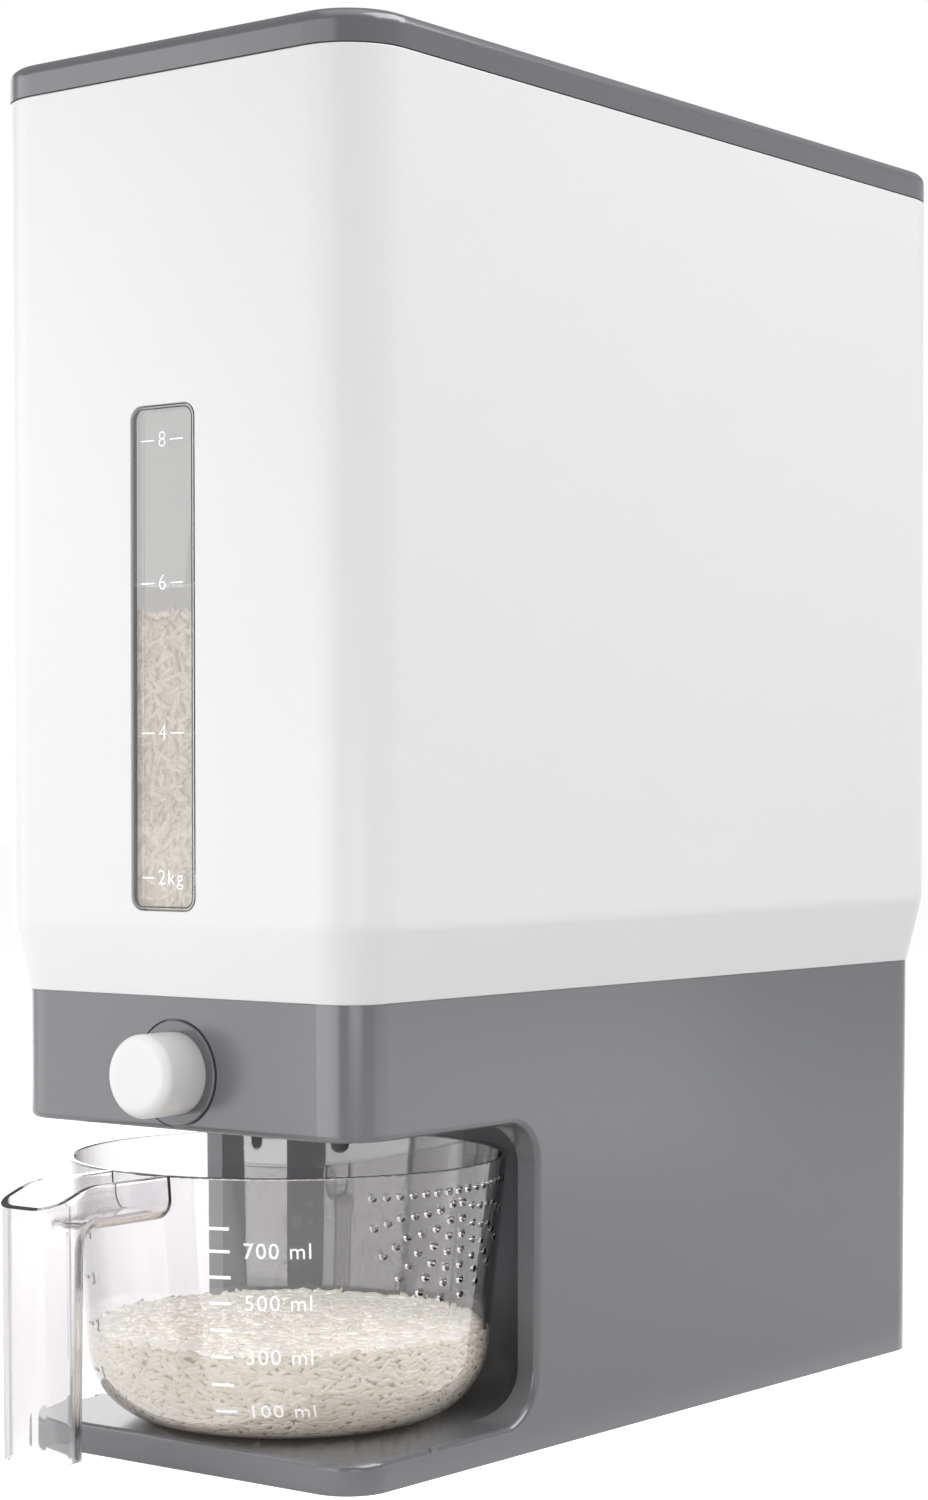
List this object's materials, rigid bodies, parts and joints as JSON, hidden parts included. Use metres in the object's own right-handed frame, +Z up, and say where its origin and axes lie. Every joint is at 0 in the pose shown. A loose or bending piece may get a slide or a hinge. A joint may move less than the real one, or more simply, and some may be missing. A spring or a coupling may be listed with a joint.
{
  "type": "rice dispenser",
  "caption": "Tall countertop rice dispenser: tapered hopper with a level window on a stand, a push button that slides a gate, and a clear measuring cup in the recess below.",
  "frame": {"origin": "middle of the hopper's plan, on the plane of the underside", "axes": "+Z up, -Y to the front with the button and the cup's handle, +X to the right seen from the front"},
  "size_m": [0.16, 0.4122, 0.446],
  "materials": {
    "hopper_white": "satin moulded plastic",
    "stand_grey": "satin moulded plastic",
    "button_white": "satin moulded plastic",
    "clear_plastic": "clear polished plastic",
    "guide_plastic": "moulded plastic",
    "gate_plastic": "moulded plastic",
    "silicone": "soft silicone",
    "pad_rubber": "matte rubber",
    "steel": "plain steel"
  },
  "bodies": {
    "stand": {"base_housing": "stand_grey", "bottom_cover": "stand_grey", "cover_screws": "steel", "foot_pads": "pad_rubber", "hopper_body": "hopper_white", "window_pane": "clear_plastic", "window_seal": "silicone", "hopper_screws": "steel", "hopper_floor": "hopper_white", "floor_seal": "silicone", "throat_seal": "silicone", "gate_guide": "guide_plastic", "guide_screws": "steel", "button_bush": "stand_grey", "bush_clip": "steel", "return_spring": "steel"},
    "button": {"button_cap": "button_white", "push_rod": "steel", "gate_plate": "gate_plastic", "rod_screw": "steel"},
    "lid": {"lid": "stand_grey", "lid_liner": "gate_plastic", "lid_seal": "silicone"},
    "cup": {"measuring_cup": "clear_plastic"}
  },
  "joints": [
    {"name": "button_slide", "type": "slide", "parent": "stand", "child": "button", "axis": [0, 1, 0], "range_m": [0, 0.016], "stiffness_N_per_m": 250, "springref_m": -0.016, "deforming": ["return_spring"]},
    {"name": "lid_lift", "type": "slide", "parent": "stand", "child": "lid", "axis": [0, 0, 1], "range_m": [0, 0.12]},
    {"name": "cup_pull", "type": "slide", "parent": "stand", "child": "cup", "axis": [0, -1, 0], "range_m": [0, 0.2]}
  ]
}
